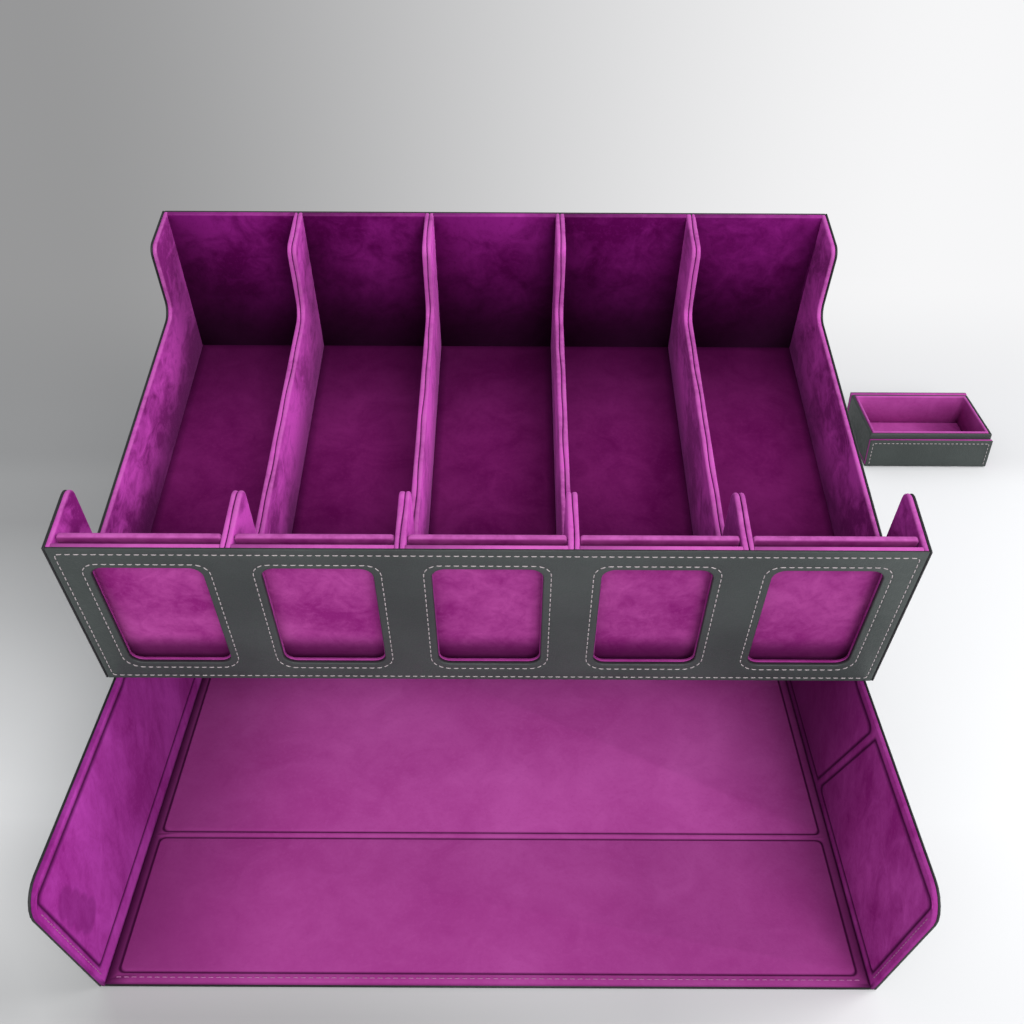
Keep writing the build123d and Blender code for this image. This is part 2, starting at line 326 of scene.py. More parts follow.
# %% [markdown]
# ## Materials
#
# Suede is short brushed fibre. Where a hand has stroked it one way it is pale, and the other way it is
# deep, in cloudy patches with soft streaks. Its fibres also catch light at a grazing angle, which is what
# the sheen of the shader does. The colour mixes two tones of purple by two sizes of noise, and a fine noise
# raises the nap.
#
# Every step of a colour is a node. A few helpers make a node and fill its sockets, so that a material reads
# like a recipe.

# %% Helpers for shader nodes
finish = {}


def fill(tree, node, values):
    """Fills a node's sockets: another node's output is linked, and a number or a colour is written in."""
    for name, value in values.items():
        if isinstance(value, bpy.types.NodeSocket):
            tree.links.new(value, node.inputs[name])
        else:
            node.inputs[name].default_value = value


def made(tree, kind, values, **settings):
    """A new node of one kind, with its settings made and then its sockets filled."""
    node = tree.nodes.new("ShaderNode" + kind)
    for name, choice in settings.items():
        setattr(node, name, choice)
    fill(tree, node, values)
    return node


def new_material(name):
    """The node tree and main shader of a new material, which finish keeps under its name."""
    material = bpy.data.materials.new("worked_" + name)
    finish[name] = material
    material.use_nodes = True
    return material.node_tree, material.node_tree.nodes["Principled BSDF"]


def object_place(tree):
    """The place on the object, in metres."""
    return made(tree, "TexCoord", {}).outputs["Object"]


def carried_tone(tree):
    """The tone that the points carry."""
    return made(tree, "Attribute", {}, attribute_name="tone").outputs["Fac"]


def noise(tree, source, scale, detail=3.0, rough=0.55, bend=0.0):
    """A noise texture that reads the given coordinates."""
    values = {"Vector": source, "Scale": scale, "Detail": detail, "Roughness": rough, "Distortion": bend}
    return made(tree, "TexNoise", values).outputs["Fac"]


def ramp(tree, value, low, high, out_low=0.0, out_high=1.0, smooth=False):
    """A ramp from out_low at low to out_high at high, held at both ends, straight or eased."""
    values = {"Value": value, "From Min": low, "From Max": high, "To Min": out_low, "To Max": out_high}
    kind = "SMOOTHSTEP" if smooth else "LINEAR"
    return made(tree, "MapRange", values, interpolation_type=kind).outputs["Result"]


def mixed(tree, factor, first, second):
    """Two colours mixed by a factor. A colour is a tuple or another node's output."""
    values = {"Factor": factor}
    for socket, colour in (("A", first), ("B", second)):
        values[socket] = (*colour, 1) if isinstance(colour, tuple) else colour
    return made(tree, "Mix", values, data_type="RGBA").outputs["Result"]


def maths(tree, kind, *values):
    """One maths node. A value is a number or another node's output."""
    return made(tree, "Math", dict(enumerate(values)), operation=kind).outputs["Value"]


def measured(tree, kind, *vectors):
    """A number worked out from vectors: their dot product, their distance or one vector's length."""
    return made(tree, "VectorMath", dict(enumerate(vectors)), operation=kind).outputs["Value"]


def bumped(tree, shader, height, strength, distance):
    """Feeds a height into the shader's normal."""
    bump = made(tree, "Bump", {"Strength": strength, "Distance": distance, "Height": height})
    fill(tree, shader, {"Normal": bump.outputs["Normal"]})


# %% [markdown]
# ## Suede
#
# One recipe makes every suede on the object. Down in the lanes, behind the windows and under the box, shade
# is painted into the colour, so a suede may also fade darker by its place. The tray's left wall has a mark
# where a finger turned the nap.

# %% Purple suede
# Rims are rubbed pale and carry a painted highlight; creases, seams and joins get painted shade
RUBBED_AND_HIGHLIGHT = (0.42, 0.09, 0.34)
PAINTED_SHADE = (0.02, 0.001, 0.016)
NAP_MIDDLE = 0.6
FIBRES = 480.0
RIM_SPOTS = 190.0


def make_suede(name, deep, pale, cloud=16.0, spread=0.16, streak=(1.0, 1.0, 1.0), fades=(), stroked=None,
               sheen=0.08):
    """Brushed suede: deep and pale nap in clouds, a rim rubbed pale with a painted highlight, and painted
    shade in a crease.

    Cloud is how many clouds fit in a metre, and spread how softly deep nap turns into pale. A fade
    (direction, full, gone, amount) paints shade, darkening the colour by that amount where the place along
    the direction is full, and not at all where it is gone. Stroked is where a finger has turned the nap:
    points along its stroke, and the stroke's radius.
    """
    tree, shader = new_material(name)
    place = object_place(tree)
    stretched = made(tree, "Mapping", {"Vector": place, "Scale": streak}).outputs["Vector"]
    clouds = noise(tree, stretched, cloud, 4.0, 0.55, 0.25)
    strokes = noise(tree, stretched, 3.2 * cloud, 4.0, 0.6, 1.2)
    fibre = noise(tree, place, FIBRES, 4.0, 0.75)

    # Clouds of nap, then single fibres that stand paler or deeper than the cloud they are in
    nap = maths(tree, "MULTIPLY_ADD", strokes, 0.4, maths(tree, "MULTIPLY", clouds, 0.8))
    colour = mixed(tree, ramp(tree, nap, NAP_MIDDLE - spread, NAP_MIDDLE + spread), deep, pale)
    colour = mixed(tree, ramp(tree, fibre, 0.52, 0.75, 0.0, 0.4), colour, pale)
    colour = mixed(tree, ramp(tree, fibre, 0.48, 0.25, 0.0, 0.4), colour, deep)
    # Painted shade: each fade darkens the colour by its place on the object
    for direction, full, gone, amount in fades:
        along = measured(tree, "DOT_PRODUCT", place, tuple(direction))
        fade = ramp(tree, along, full, gone, amount, 0.0, True)
        colour = mixed(tree, fade, colour, tuple(0.3 * channel for channel in deep))
    if stroked:
        points, radius = stroked
        nearest = 1.0
        for point in points:
            nearest = maths(tree, "MINIMUM", measured(tree, "DISTANCE", place, point), nearest)
        ragged = maths(tree, "MULTIPLY_ADD", clouds, -1.6 * radius, nearest)
        mark = ramp(tree, ragged, 0.1 * radius, 0.35 * radius, 0.4, 0.0)
        colour = mixed(tree, mark, colour, tuple(0.5 * channel for channel in deep))

    # The tone rubs a rim pale, unevenly, with a painted highlight, and paints shade into a crease
    tone = carried_tone(tree)
    uneven_rim = ramp(tree, noise(tree, place, RIM_SPOTS, 3.0, 0.65), 0.35, 0.65, 0.5, 0.95)
    colour = mixed(tree, maths(tree, "MULTIPLY", ramp(tree, tone, 0.0, 1.0), uneven_rim), colour, RUBBED_AND_HIGHLIGHT)
    colour = mixed(tree, ramp(tree, tone, 0.0, -1.0, 0.0, 0.9), colour, PAINTED_SHADE)
    fill(tree, shader, {"Base Color": colour, "Roughness": 0.95, "Specular IOR Level": 0.01,
                        "Sheen Weight": sheen, "Sheen Roughness": 0.35, "Sheen Tint": (1.0, 0.2, 0.86, 1)})
    height = maths(tree, "MULTIPLY_ADD", fibre, 0.5, maths(tree, "MULTIPLY", strokes, 0.8))
    bumped(tree, shader, height, 0.35, 0.0006)


# %% Where shade is painted
FLOOR_BACK, FLOOR_TOP = level("lane_1_floor_pad")[1][1:]
GROUND = float(box_corner @ UP) + FLOOR_TOP
LANE_END = float(box_corner @ BACK) + FLOOR_BACK
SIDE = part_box("tray_floor_lining")[1][0]
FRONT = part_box("tray_floor_lining")[0][1]
RIGHT, LEFT, REAR = (1, 0, 0), (-1, 0, 0), (0, 1, 0)

# In the storage box, painted shade: at the foot of a wall, low on the back linings, at the back of the floors
foot = (UP, GROUND, GROUND + 34 * MM, 0.7)
back_low = (UP, GROUND, GROUND + 78 * MM, 0.84)
lane_end = (BACK, LANE_END + 10 * MM, LANE_END - 105 * MM, 0.7)

# On the pocket walls, painted shade below the windows' sills and under the rim, and darker slowly towards the
# right
sill = (UP, GROUND + 11 * MM, GROUND + 25 * MM, 0.85)
under_rim = (UP, GROUND + 90 * MM, GROUND + 84 * MM, 0.4)
to_right = (RIGHT, SIDE, -SIDE, 0.24)

# In the tray, painted shade along its sides and towards its front, and the box's painted shadow under it
left_side = (RIGHT, -SIDE, 90 * MM - SIDE, 0.52)
right_side = (LEFT, -SIDE, 24 * MM - SIDE, 0.35)
near_front = (REAR, FRONT, FRONT + 160 * MM, 0.48)
under_box = (REAR, FRONT + 150 * MM, FRONT + 30 * MM, 0.8)

# The finger's stroke goes down the left wall's inner face, here as (y, z)
STROKE_RADIUS = 8.5 * MM
stroke = [(-0.1835, y, z) for y, z in ((-0.156, 0.076), (-0.152, 0.066), (-0.148, 0.056), (-0.144, 0.047))]

# %% Make the suedes
make_suede("purple_suede", (0.27, 0.026, 0.19), (0.42, 0.068, 0.32))
make_suede("floor_suede", (0.43, 0.05, 0.305), (0.58, 0.104, 0.44), 13.0, 0.2,
           fades=[left_side, right_side, near_front])
make_suede("left_suede", (0.28, 0.02, 0.225), (0.47, 0.06, 0.42), 15.0, 0.16, (1.0, 1.9, 1.0),
           stroked=(stroke, STROKE_RADIUS))
make_suede("right_suede", (0.28, 0.018, 0.205), (0.49, 0.07, 0.395), 17.0, 0.16, (1.0, 1.7, 1.0), [under_box])
make_suede("wall_suede", (0.155, 0.005, 0.12), (0.5, 0.056, 0.415), 21.0, 0.09, (1.0, 0.9, 1.3), [foot],
           sheen=0.36)
make_suede("pocket_suede", (0.2, 0.014, 0.14), (0.36, 0.057, 0.262), 30.0, 0.15,
           fades=[sill, under_rim, to_right])
# The back and lane suedes are darker copies that paint the shade down in the lanes
make_suede("back_suede", (0.085, 0.002, 0.065), (0.2, 0.011, 0.165), 22.0, 0.12, fades=[back_low], sheen=0.02)
make_suede("shaded_lane_suede", (0.12, 0.005, 0.082), (0.21, 0.017, 0.147), 16.0, 0.17, fades=[lane_end])
print("suede:", len(finish["purple_suede"].node_tree.nodes), "shader nodes")

# %% [markdown]
# ## Leather, board and thread
#
# Leather is pebbled: the smooth cells of a Voronoi texture stand between fine valleys of noise. Board is
# grey pulp with flecks, and shows only where a skin is taken off. Thread is two strands laid round each
# other.

# %% Black leather
def make_leather(name):
    """Pebbled leather: small rounded cells between fine valleys, over slow changes of tone."""
    tree, shader = new_material(name)
    place = object_place(tree)
    cells = made(tree, "TexVoronoi", {"Vector": place, "Scale": 1100.0, "Smoothness": 0.6},
                 feature="SMOOTH_F1")
    wrinkle = noise(tree, place, 260.0, 4.0, 0.6, 0.4)
    slow = noise(tree, place, 18.0, 3.0, 0.5)
    colour = mixed(tree, ramp(tree, slow, 0.35, 0.7), (0.027, 0.034, 0.032), (0.04, 0.049, 0.046))
    colour = mixed(tree, ramp(tree, carried_tone(tree), 0.0, 1.0), colour, (0.006, 0.006, 0.007))
    fill(tree, shader, {"Base Color": colour, "Roughness": ramp(tree, wrinkle, 0.3, 0.7, 0.5, 0.66),
                        "Specular IOR Level": 0.4})
    height = maths(tree, "MULTIPLY_ADD", cells.outputs["Distance"], -0.7, wrinkle)
    bumped(tree, shader, height, 0.4, 0.00035)


# %% Grey board
def make_board(name):
    """Pressed card: flecks of fibre in a grey body."""
    tree, shader = new_material(name)
    place = object_place(tree)
    fleck = noise(tree, place, 900.0, 3.0, 0.7)
    layer = noise(tree, place, 60.0, 3.0)
    colour = mixed(tree, ramp(tree, fleck, 0.4, 0.7), (0.36, 0.34, 0.31), (0.5, 0.47, 0.43))
    fill(tree, shader, {"Base Color": colour, "Roughness": ramp(tree, layer, 0.3, 0.7, 0.8, 0.95)})
    bumped(tree, shader, fleck, 0.3, 0.0002)


# %% Thread
def make_thread(name, shaded, lit):
    """Waxed thread: two strands laid round each other show as slanted bands of painted shade and light along
    the stitch.
    """
    tree, shader = new_material(name)
    along = made(tree, "UVMap", {}, uv_map="lay").outputs["UV"]
    strand = made(tree, "TexWave", {"Vector": along, "Scale": 2.2}, bands_direction="DIAGONAL").outputs["Fac"]
    fill(tree, shader, {"Base Color": mixed(tree, strand, shaded, lit), "Roughness": 0.6})
    bumped(tree, shader, strand, 0.5, 0.0001)


# %% Make them, and dress the nodes that stay
make_leather("black_leather")
make_board("grey_board")
make_thread("pale_thread", (0.22, 0.19, 0.2), (0.5, 0.44, 0.45))
make_thread("rose_thread", (0.24, 0.05, 0.18), (0.42, 0.15, 0.34))
for node, thing in frame["nodes"].items():
    thing.data.materials.clear()
    thing.data.materials.append(finish[slots[node]])
print("materials:", sorted(finish))

# %% [markdown]
# ## The side view of a wall
#
# Every wall of the storage box that runs from front to back has the same side view: a tall ear in front, a
# low run that a hand can reach over, and a tall stretch at the back. The places of its corners come from a
# lane wall's own points: the low run's height is that of the points between the two tall parts.

# %% Read the scoop from a lane wall
EAR_RADIUS = 6.0 * MM
SCOOP_RADIUS = 8.0 * MM
CUT_RADIUS = 0.6 * MM
OVER_FOOT = 30 * MM
OVER_SCOOP = 20 * MM
wall_points = levelled("lane_2_left_wall")
scoop_height = wall_points[wall_points[:, 2] > OVER_FOOT][:, 2].min()
tall = wall_points[wall_points[:, 2] > scoop_height + OVER_SCOOP]
ear_y = tall[tall[:, 1] < box_high[1] / 2][:, 1].max()
rise_y = tall[tall[:, 1] > box_high[1] / 2][:, 1].min()
print("scoop in mm, height, start and end:", np.round(np.array([scoop_height, ear_y, rise_y]) / MM, 1))


def side_view(low, high):
    """A wall's corners (y, z), the radius of each and the runs of its sides, from the front of its foot."""
    top = box_high[2]
    corners = [(low[1], low[2]), (high[1], low[2]), (high[1], top), (rise_y, top), (rise_y, scoop_height),
               (ear_y, scoop_height), (ear_y, top), (low[1], top)]
    radius = [CUT_RADIUS] * 3 + [EAR_RADIUS, SCOOP_RADIUS, SCOOP_RADIUS, EAR_RADIUS, CUT_RADIUS]
    return corners, radius, even_runs(corners, 6 * MM)


# %% [markdown]
# ## Suede-covered lane walls
#
# Each divider is two thin boards, covered in suede and set back to back. The suede is stretched over the
# rim and looks paler there, partly by a painted highlight, and painted shade darkens the edges where the two
# boards meet, so that a seam runs along the top. It was glued by hand and wanders a little, so both walls of
# a divider lean the same way along it. The outermost wall on each side lines the box's side.

# %% Make the lane walls
LANES = 5
WALL_EDGE = 0.95 * MM
WANDER = 0.4 * MM


def wander(rings, divider):
    """How far a divider's seam strays to the right.

    It is WANDER times two sines of y + z, which start at another place on each divider.
    """
    along = rings[..., 0] + rings[..., 1]
    return WANDER * np.sin(along / (8 * MM) + 2.0 * divider) * np.sin(along / (21 * MM) + divider)


for lane in range(1, LANES + 1):
    for side in ("left", "right"):
        node = f"lane_{lane}_{side}_wall"
        low, high = level(node)
        corners, radius, runs = side_view(low, high)
        rings, tone = plate(corners, radius, low[0], high[0], WALL_EDGE, runs, 1.0)
        share = (rings[..., 2] - low[0]) / (high[0] - low[0])
        # Painted shade darkens the edges where the two boards of a divider meet
        if side == "left" and lane > 1:
            tone[:3] = -1
            rings[..., 2] += (1 - share) * wander(rings, lane - 1)
        if side == "right" and lane < LANES:
            tone[-3:] = -1
            rings[..., 2] += share * wander(rings, lane)
        add_piece("suede_" + node, "card_box", [(in_box(rings, "yzx"), tone, "capped")], node, "wall_suede")
print("lane walls:", 2 * LANES)

# %% [markdown]
# ## Leather sides, back and bottom
#
# The skins are cut a little proud and their edges are rubbed with dark finish, so they draw a black line
# round the purple rims.

# %% Make the leather skins of the storage box
SKIN_EDGE = 0.5 * MM
for side in ("left", "right"):
    node = f"{side}_side_leather"
    low, high = level(node)
    corners, radius, runs = side_view(low, high)
    rings, tone = plate(corners, radius, low[0], high[0], SKIN_EDGE, runs, 1.0)
    add_piece(f"skin_{side}_side", "card_box", [(in_box(rings, "yzx"), tone, "capped")], node)
for side, order in (("back", "xzy"), ("bottom", "xyz")):
    node = f"{side}_leather"
    rings, tone = slab(*level(node), order, CUT_RADIUS, SKIN_EDGE, [40, 12, 40, 12], 1.0)
    add_piece(f"skin_{side}", "card_box", [(in_box(rings, order), tone, "capped")], node)

# %% [markdown]
# ## Suede inside the lanes
#
# Floor pads, back linings and the pocket walls that stand behind the windows. Painted shade darkens a pad
# towards its edges, next to the walls. A pocket wall is a thicker board with round upper corners and a pale
# rim, partly a painted highlight. The back lining is folded over the top of the back board, and the fold is
# a pale rim, partly a painted highlight.

# %% Make pads, back linings and pocket walls
PAD_RADIUS, PAD_EDGE = 0.5 * MM, 0.6 * MM
PAD_MARGIN = 5.0 * MM
PAD_SHADE = 0.55
FOLD_HEIGHT = 0.9 * MM
FOLD_RADIUS = np.array([0, 0, 0.4, 0.7]) * MM
FOLD_TONE = 0.25
POCKET_EDGE = 0.9 * MM
POCKET_TONE = 0.9
POCKET_RADIUS = np.array([0.5, 0.5, 1.6, 1.6]) * MM
face_back = level("back_board")[0][1]
for lane in range(1, LANES + 1):
    node = f"lane_{lane}_floor_pad"
    low, high = level(node)
    rings, tone = slab(low, high, "xyz", PAD_RADIUS, PAD_EDGE)
    rings = np.concatenate([rings, lay(rectangle(low, high), PAD_MARGIN, 0.0, high[2])[None]])
    # Painted shade darkens the pad towards its edges
    tone = np.append(tone - PAD_SHADE, 0.0)
    add_piece(f"suede_lane_{lane}_floor", "card_box", [(on_tray(rings), tone, "capped")], node, "shaded_lane_suede")

    node = f"lane_{lane}_back_lining"
    low, high = level(node)
    fold = high[2] - FOLD_HEIGHT
    sheet = rod(rectangle((low[1], low[2]), (face_back, fold)), 0.0, low[0], high[0])
    rim = rod(rectangle((low[1], fold), (high[1], high[2])), FOLD_RADIUS, low[0], high[0])
    add_piece(f"suede_lane_{lane}_back", "card_box",
              [(in_box(sheet, "yzx"), [0.0], "capped"), (in_box(rim, "yzx"), [FOLD_TONE], "capped")],
              node, "back_suede")

    node = f"lane_{lane}_pocket_wall"
    rings, tone = slab(*level(node), "xzy", POCKET_RADIUS, POCKET_EDGE, [12, 16, 12, 16], POCKET_TONE)
    add_piece("suede_" + node, "card_box", [(in_box(rings, "xzy"), tone, "capped")], node, "pocket_suede")
print("lanes lined:", LANES)

# %% [markdown]
# ## The front panel
#
# Leather is cut out at each window, turned in round the board's edge and sewn down by a loop of stitches
# that pulls a shallow trough. The panel is a border with five cells. In a cell the outlines start behind
# the window, come through it, roll over its edge, dip under the stitches and end in the cell's rectangle.
# The border starts from the same points, so the parts merge into one skin.

# %% Places in the front panel
skin_back = level("lane_1_front_lining")[0][1]
front_low, front_high = level("front_leather")
front_points = levelled("front_leather")
turned_in = front_points[front_points[:, 1] > (skin_back + front_high[1]) / 2]
TURN_IN = 0.6 * MM
WINDOW_RADIUS = 6.0 * MM
BORDER = np.array([5.5, 7.8, 8.0, 7.8]) * MM
LOOP = np.array([3.9, 3.5, 2.6, 3.5]) * MM
LOOP_RADIUS = np.array([9.0, 9.0, 7.0, 7.0]) * MM
FRAME_LINE = np.array([2.6, 3.0, 4.1, 3.0]) * MM
FRAME_RADIUS = 2.0 * MM
CELL_RUNS = 10


def window(lane):
    """The four corners (x, z) of a lane's window."""
    left = level(f"lane_{lane}_left_wall")[0][0]
    right = level(f"lane_{lane}_right_wall")[1][0]
    here = turned_in[(turned_in[:, 0] > left) & (turned_in[:, 0] < right)]
    low = here.min(axis=0) + TURN_IN
    high = here.max(axis=0) - TURN_IN
    return rectangle((low[0], low[2]), (high[0], high[2]))


def cell(lane):
    """The four corners (x, z) of the cell round a window."""
    left = front_low[0] + BORDER[3]
    right = front_high[0] - BORDER[1]
    if lane > 1:
        left = (level(f"lane_{lane - 1}_right_wall")[1][0] + level(f"lane_{lane}_left_wall")[0][0]) / 2
    if lane < LANES:
        right = (level(f"lane_{lane}_right_wall")[1][0] + level(f"lane_{lane + 1}_left_wall")[0][0]) / 2
    return rectangle((left, front_low[2] + BORDER[0]), (right, front_high[2] - BORDER[2]))


# %% Share points between neighbouring cells
def sides_of(ring, runs):
    """A ring cut at its corners: for each, the arc without its last point, and the side that follows."""
    cuts, first = [], 0
    for count in runs:
        cuts.append((ring[first:first + ARC_STEPS], ring[first + ARC_STEPS:first + ARC_STEPS + count]))
        first += ARC_STEPS + count
    return cuts


def joined_sides(cuts, route):
    """One ring round several cells. For each of its own sides the route lists the (cell, side) along it."""
    parts = []
    for stops in route:
        parts.append(cuts[stops[0][0]][stops[0][1]][0])
        parts += [cuts[cell_name][side][1] for cell_name, side in stops]
    return np.concatenate(parts)


# %% Rolled edges and pressed lines
TROUGH = (0.22 * MM, 0.55 * MM)
CREASE_LINE = (0.45 * MM, 0.42 * MM)
WALL_CREASE = (0.5 * MM, 0.66 * MM)
DIP_STEPS = np.array([-2.2, -1.2, -0.6, 0.0, 0.6, 1.2, 2.2])
PAST_ROLL = 1.6


def dip(across, size):
    """The depth at a distance from the middle of a pressed line of a size (depth, width).

    It is the depth times exp(-(distance / width) squared).
    """
    return size[0] * np.exp(-(across / size[1]) ** 2)


def trough(corners, line, radius, runs, way):
    """Rings across the trough along a seam, one further in than the other, or further out where way is -1."""
    steps = DIP_STEPS * TROUGH[1]
    return [lay(corners, way * (line + d), radius, dip(d, TROUGH), runs, False) for d in steps]


def rolled(corners, edge, radius, runs, way, rim_tone):
    """Rings over a cut edge of leather and the tones of all but the last, which lies flat on the face.

    At the angle a from 0 to a quarter turn the outline has moved by edge * (1 - cos a), inwards where way is
    1 and outwards where it is -1, and its depth is edge * (1 - sin a).
    """
    rings, tones = [], []
    for a in np.linspace(0, math.pi / 2, 5):
        rings.append(lay(corners, way * edge * (1 - math.cos(a)), radius, edge * (1 - math.sin(a)), runs))
        tones.append(rim_tone * (1 - a / (math.pi / 2)))
    rings.append(lay(corners, way * PAST_ROLL * edge, radius, 0, runs))
    return rings, tones


# %% Make the front leather
ROLL = 0.6 * MM
ROLL_TONE, INSIDE_TONE = 0.5, 0.6
shells = []


def add_shell(rings, tones):
    """Keeps one part of the panel. The rings after the last of the tones have the tone 0."""
    shells.append((in_box(rings, "xzy"), np.pad(tones, (0, len(rings) - len(tones))), "open"))


for lane in range(1, LANES + 1):
    hole = window(lane)
    rect = cell(lane)
    over, tones = rolled(hole, ROLL, WINDOW_RADIUS, CELL_RUNS, -1, ROLL_TONE)
    add_shell([lay(rect, 0, 0, skin_back, CELL_RUNS),
               lay(hole, -TURN_IN, WINDOW_RADIUS, skin_back, CELL_RUNS),
               lay(hole, -TURN_IN, WINDOW_RADIUS, front_high[1], CELL_RUNS),
               lay(hole, 0, WINDOW_RADIUS, front_high[1], CELL_RUNS),
               *over,
               *trough(hole, LOOP, LOOP_RADIUS, CELL_RUNS, -1),
               lay(rect, 0, 0, 0, CELL_RUNS)], [0, 0, INSIDE_TONE, INSIDE_TONE] + tones)

# The border starts from the cells' own points: their outer sides, one after another
lanes = list(range(1, LANES + 1))
outer_sides = {lane: sides_of(outline(cell(lane), 0, 0, CELL_RUNS), [CELL_RUNS] * 4) for lane in lanes}
inner = joined_sides(outer_sides, [[(lane, 0) for lane in lanes], [(LANES, 1)],
                                   [(lane, 2) for lane in lanes[::-1]], [(1, 3)]])
panel = facing(front_low, front_high, "xzy")
runs = [LANES * CELL_RUNS, CELL_RUNS, LANES * CELL_RUNS, CELL_RUNS]
over, tones = rolled(panel, SKIN_EDGE, CUT_RADIUS, runs, 1, 1.0)
add_shell([np.column_stack([inner, np.full(len(inner), skin_back)]),
           lay(panel, 0, CUT_RADIUS, skin_back, runs),
           *over,
           *trough(panel, FRAME_LINE, FRAME_RADIUS, runs, 1),
           np.column_stack([inner, np.zeros(len(inner))])], [0, 1] + tones)
add_piece("skin_front_panel", "card_box", shells, "front_leather")
print("front panel with", LANES, "windows")

# %% [markdown]
# ## Lining behind the front panel
#
# A thin suede lining is glued behind the panel and cut a little smaller than the leather's opening, so a
# narrow purple lip, darkened by painted shade, shows inside each window. Its upper edge is folded over the
# board as a pale rim, partly a painted highlight, which bulges a little into the card pocket.

# %% Make the front linings
LIP = np.array([0.8, 0.2, 0.2, 0.2]) * MM
LIP_EDGE = 0.3 * MM
# The lip carries painted shade, and the rim is pale, partly by a painted highlight
LIP_TONE, RIM_TONE = -0.3, 0.8
RIM_HEIGHT = 1.7 * MM
RIM_RADIUS = np.array([0.4, 0.4, 0.8, 0.6]) * MM
BULGE = 0.6 * MM
face = level("front_board")[1][1]
for lane in range(1, LANES + 1):
    node = f"lane_{lane}_front_lining"
    low, high = level(node)
    hole = window(lane)
    fold = high[2] - RIM_HEIGHT
    sheet = rectangle((low[0], low[2]), (high[0], fold))
    rings = [lay(sheet, 0, 0, face, CELL_RUNS),
             lay(hole, LIP + LIP_EDGE, WINDOW_RADIUS, face, CELL_RUNS),
             lay(hole, LIP, WINDOW_RADIUS, face + LIP_EDGE, CELL_RUNS),
             lay(hole, LIP + LIP_EDGE, WINDOW_RADIUS, high[1], CELL_RUNS),
             lay(sheet, 0, 0, high[1], CELL_RUNS)]
    rim = rod(rectangle((low[1], fold), (high[1] + BULGE, high[2])), RIM_RADIUS, low[0], high[0])
    add_piece(f"suede_lane_{lane}_front", "card_box",
              [(in_box(rings, "xzy"), [0, LIP_TONE, LIP_TONE, 0, 0], "looped"),
               (in_box(rim, "yzx"), [RIM_TONE], "capped")], node)

# %% [markdown]
# ## Stitches
#
# Each stitch is a short length of thread that comes up through one hole and goes down through the next. It
# is made as a bent rod of seven small rings whose ends dip into the leather. All the stitches of a seam are
# worked out together as one array, spaced evenly along the seam.

# %% Sew along a path
PITCH = 3.7 * MM
STITCH = 2.7 * MM
THREAD = 0.26 * MM
RINGS, RING_POINTS = 7, 6


def point_at(path, way, distance):
    """The path's point at each distance from its start, where way is how far along each corner lies."""
    return np.stack([np.interp(distance, way, path[:, k]) for k in range(3)], axis=-1)


def sew(name, body, seams, look="pale_thread", pitch=PITCH, stitch=STITCH, thread=THREAD):
    """Stitches along seams, each (points, outward direction, whether it is closed).

    At t from -1 to 1 a stitch's middle line is at its centre + t * half its length along the seam, raised by
    thread * (0.55 - 1.25 * t to the fourth). A ring there has the radius thread * square root of
    (1 - 0.75 * t to the sixth). The UV layer named lay runs along and round the thread, for its strands.
    """
    points, lays = [], []
    t = np.linspace(-1, 1, RINGS)
    turn = np.arange(RING_POINTS) * 2 * math.pi / RING_POINTS
    lift = (thread * (0.55 - 1.25 * t ** 4))[None, :, None, None]
    radius = (thread * np.sqrt(1 - 0.75 * t ** 6))[None, :, None, None]
    cos, sin = np.cos(turn)[None, None, :, None], np.sin(turn)[None, None, :, None]
    for path, outward, closed in seams:
        path = np.asarray(path)
        if closed:
            path = np.concatenate([path, path[:1]])
        way = np.concatenate([[0], np.cumsum(np.linalg.norm(np.diff(path, axis=0), axis=1))])
        number = max(2, round(way[-1] / pitch))
        centre = (np.arange(number) + 0.5) * way[-1] / number
        line = point_at(path, way, centre[:, None] + t * stitch / 2)
        forward = point_at(path, way, centre + stitch / 2) - point_at(path, way, centre - stitch / 2)
        forward /= np.linalg.norm(forward, axis=1)[:, None]
        up = np.broadcast_to(outward, forward.shape)
        aside = np.cross(forward, up)[:, None, None]
        up = up[:, None, None]
        rings = line[:, :, None] + up * lift + radius * (aside * cos + up * sin)
        points.append(rings.reshape(-1, 3))
        lay_u = np.broadcast_to(t[None, :, None] * 1.5, rings.shape[:3])
        lay_v = np.broadcast_to(turn[None, None, :] / math.pi, rings.shape[:3])
        lays.append(np.stack([lay_u, lay_v], axis=-1).reshape(-1, 2))
    points, lays = np.concatenate(points), np.concatenate(lays)
    index = np.arange(len(points)).reshape(-1, RINGS, RING_POINTS)
    low, high = index[:, :-1], index[:, 1:]
    quads = np.stack([low, np.roll(low, -1, axis=2), np.roll(high, -1, axis=2), high], axis=-1)
    ends = np.concatenate([index[:, 0, ::-1], index[:, -1]])
    mesh = bpy.data.meshes.new(name)
    mesh.from_pydata(points.tolist(), [], quads.reshape(-1, 4).tolist() + ends.tolist())
    corner = np.empty(len(mesh.loops), int)
    mesh.loops.foreach_get("vertex_index", corner)
    mesh.uv_layers.new(name="lay").data.foreach_set("uv", lays[corner].ravel().astype(np.float32))
    placed_piece(name, mesh, body, look, weld=False)
    print(name, "stitches:", len(index))


# %% Sew the front panel
def panel_seam(corners, inset, radius, runs):
    """A closed seam at the bottom of a trough in the front panel."""
    return in_box(lay(corners, inset, radius, TROUGH[0], runs, False), "xzy"), -BACK, True


seams = [panel_seam(window(lane), -LOOP, LOOP_RADIUS, 12) for lane in lanes]
seams.append(panel_seam(panel, FRAME_LINE, FRAME_RADIUS, [90, 24, 90, 24]))
sew("stitches_front_panel", "card_box", seams)

